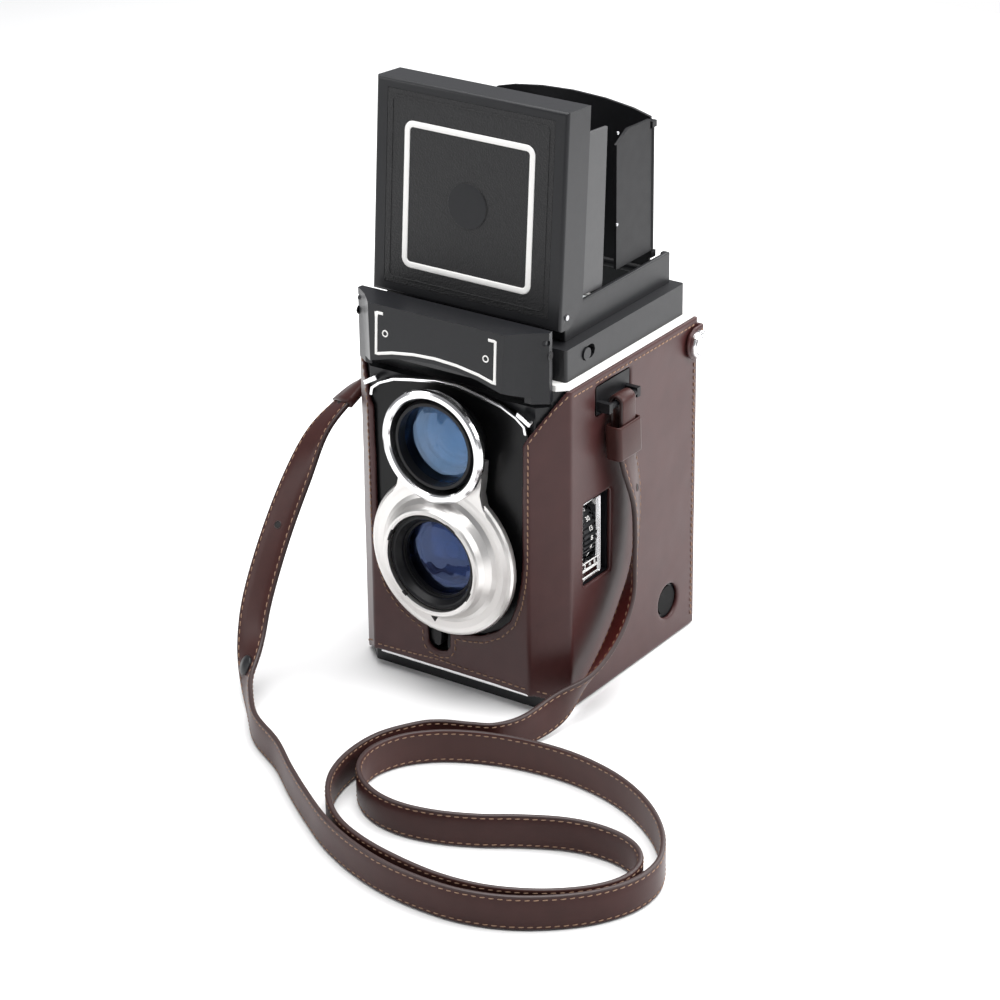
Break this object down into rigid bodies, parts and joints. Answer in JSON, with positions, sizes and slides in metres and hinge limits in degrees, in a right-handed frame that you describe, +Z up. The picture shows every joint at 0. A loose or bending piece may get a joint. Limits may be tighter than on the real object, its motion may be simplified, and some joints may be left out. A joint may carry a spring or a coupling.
{
  "type": "twin lens reflex camera",
  "caption": "Twin lens reflex camera for instant film, with a folding waist-level hood, a lifting flash cover, a sliding lens front, a leather half case and a leather strap.",
  "frame": {"origin": "centre of the tripod socket's mouth, in the middle of the underside of the base plate", "axes": "+Z up, the lenses face -Y, +X is the right side seen from the front"},
  "size_m": [0.2081, 0.2369, 0.229],
  "materials": {
    "black_plastic": "satin, fine grain",
    "black_leatherette": "embossed, matte",
    "leather": "smooth, waxed",
    "chrome": "polished",
    "satin_silver": "satin",
    "white_line": "satin",
    "coated_glass": "polished, blue coating",
    "clear_glass": "polished",
    "ground_glass": "ground",
    "mirror": "silvered",
    "brass": "turned",
    "steel": "brushed",
    "dark_metal": "blackened",
    "film_plastic": "matte",
    "circuit": "satin",
    "foil": "glossy",
    "strap_leather": "smooth, waxed"
  },
  "bodies": {
    "camera_body": {"base_plate": "black_plastic", "tripod_bush": "brass", "body_shell": "black_plastic", "front_panel": "black_leatherette", "front_trim": "chrome", "top_trim": "white_line", "leather_case": "leather", "hood_base": "black_plastic", "hood_frame": "black_plastic", "hood_hinge_pins": "steel", "focusing_screen": "ground_glass", "mirror_box": "black_plastic", "mirror": "mirror", "film_frame": "dark_metal", "film_pack": "film_plastic", "drive_motor": "steel", "batteries": "foil", "circuit_board": "circuit", "flash_capacitor": "foil", "flash_base": "black_plastic", "flash_reflector": "chrome", "flash_tube": "clear_glass", "flash_window": "clear_glass", "wheel_frame": "chrome", "strap_lugs": "dark_metal", "strap": "strap_leather"},
    "hood_lid": {"lid_shell": "black_plastic", "lid_panel": "black_leatherette", "lid_badge": "black_plastic", "hood_front_leaves": "dark_metal"},
    "hood_foot": {"hood_foot_rod": "steel"},
    "hood_back": {"hood_back_wall": "dark_metal"},
    "hood_leaf_right": {"hood_rear_leaf_right": "dark_metal"},
    "hood_leaf_left": {"hood_rear_leaf_left": "dark_metal"},
    "magnifier": {"magnifier_frame": "black_plastic", "magnifier_lens": "clear_glass"},
    "nameplate_cover": {"flash_cover": "black_plastic"},
    "lens_carriage": {"lens_plate": "satin_silver", "viewing_ring": "chrome", "viewing_barrel": "dark_metal", "viewing_lens_front": "coated_glass", "taking_ring": "dark_metal", "taking_barrel": "dark_metal", "taking_lens_front": "coated_glass", "shutter_block": "dark_metal", "taking_lens_rear": "coated_glass", "focus_rack": "brass"},
    "focus_control": {"focus_shaft": "steel", "focus_knob": "black_plastic"},
    "exposure_wheel": {"aperture_wheel": "black_plastic"},
    "button": {"side_button": "black_plastic"},
    "slider": {"hood_slider": "black_plastic"},
    "lever": {"shutter_lever": "dark_metal"},
    "film_door": {"back_door": "black_plastic"},
    "latch": {"door_latch": "black_plastic"},
    "rear_flap": {"case_flap": "leather", "snap_caps": "chrome"},
    "film_roller_front": {"roller_front": "steel"},
    "film_roller_rear": {"roller_rear": "steel"}
  },
  "joints": [
    {"name": "hood_lid_fold", "type": "hinge", "parent": "camera_body", "child": "hood_lid", "pos_m": [0, -0.03511, 0.15377], "axis": [1, 0, 0], "range_deg": [-85.63, 0]},
    {"name": "hood_foot_slide", "type": "slide", "parent": "camera_body", "child": "hood_foot", "axis": [0, -0.9751, -0.222], "range_m": [0, 0.0632]},
    {"name": "hood_back_fold", "type": "hinge", "parent": "hood_foot", "child": "hood_back", "pos_m": [0, 0.0323, 0.1485], "axis": [1, 0, 0], "range_deg": [-90.1, 0]},
    {"name": "hood_leaf_right_fold", "type": "hinge", "parent": "hood_back", "child": "hood_leaf_right", "pos_m": [0.035, 0.031, 0.18], "axis": [0, 0, 1], "range_deg": [-90.1, 0]},
    {"name": "hood_leaf_left_fold", "type": "hinge", "parent": "hood_back", "child": "hood_leaf_left", "pos_m": [-0.035, 0.031, 0.18], "axis": [0, 0, 1], "range_deg": [0, 90.1]},
    {"name": "magnifier_swing", "type": "hinge", "parent": "hood_lid", "child": "magnifier", "pos_m": [0, -0.02949, 0.21916], "axis": [1, 0, 0], "range_deg": [0, 85]},
    {"name": "nameplate_lift", "type": "hinge", "parent": "camera_body", "child": "nameplate_cover", "pos_m": [0, -0.0475, 0.1482], "axis": [1, 0, 0], "range_deg": [-70, 0]},
    {"name": "focus_travel", "type": "slide", "parent": "camera_body", "child": "lens_carriage", "axis": [0, -1, 0], "range_m": [0, 0.008]},
    {"name": "focus_knob_turn", "type": "hinge", "parent": "camera_body", "child": "focus_control", "pos_m": [-0.05, -0.025, 0.072], "axis": [-1, 0, 0], "range_deg": [0, 115]},
    {"name": "exposure_wheel_turn", "type": "hinge", "parent": "camera_body", "child": "exposure_wheel", "pos_m": [0.0312, -0.025, 0.0645], "axis": [0, 1, 0], "range_deg": [-70, 70]},
    {"name": "button_press", "type": "slide", "parent": "camera_body", "child": "button", "axis": [-1, 0, 0], "range_m": [0, 0.0015]},
    {"name": "slider_travel", "type": "slide", "parent": "camera_body", "child": "slider", "axis": [0, 1, 0], "range_m": [0, 0.0034]},
    {"name": "shutter_lever_swing", "type": "hinge", "parent": "camera_body", "child": "lever", "pos_m": [-0.0052, -0.05, 0.0192], "axis": [0, 1, 0], "range_deg": [-18, 18]},
    {"name": "rear_flap_open", "type": "hinge", "parent": "camera_body", "child": "rear_flap", "pos_m": [0, 0.0462, 0.0035], "axis": [1, 0, 0], "range_deg": [-85, 0]},
    {"name": "film_door_open", "type": "hinge", "parent": "camera_body", "child": "film_door", "pos_m": [0, 0.0433, 0.0104], "axis": [1, 0, 0], "range_deg": [-68.1, 0]},
    {"name": "latch_slide", "type": "slide", "parent": "film_door", "child": "latch", "axis": [1, 0, 0], "range_m": [0, 0.0025]},
    {"name": "roller_front_spin", "type": "hinge", "parent": "camera_body", "child": "film_roller_front", "pos_m": [0, 0.0229, 0.0129], "axis": [1, 0, 0], "continuous": true},
    {"name": "roller_rear_spin", "type": "hinge", "parent": "camera_body", "child": "film_roller_rear", "pos_m": [0, 0.0291, 0.0129], "axis": [1, 0, 0], "continuous": true}
  ],
  "couplings": [
    {"joint": "hood_foot_slide", "follows": "hood_lid_fold", "m_per_rad": -0.042203},
    {"joint": "hood_back_fold", "follows": "hood_lid_fold", "ratio": 1.0514},
    {"joint": "hood_leaf_right_fold", "follows": "hood_lid_fold", "ratio": 1.0514},
    {"joint": "hood_leaf_left_fold", "follows": "hood_lid_fold", "ratio": -1.0514},
    {"joint": "focus_knob_turn", "follows": "focus_travel", "rad_per_m": 250},
    {"joint": "film_door_open", "follows": "rear_flap_open", "ratio": 0.8},
    {"joint": "roller_rear_spin", "follows": "roller_front_spin", "ratio": -1}
  ]
}
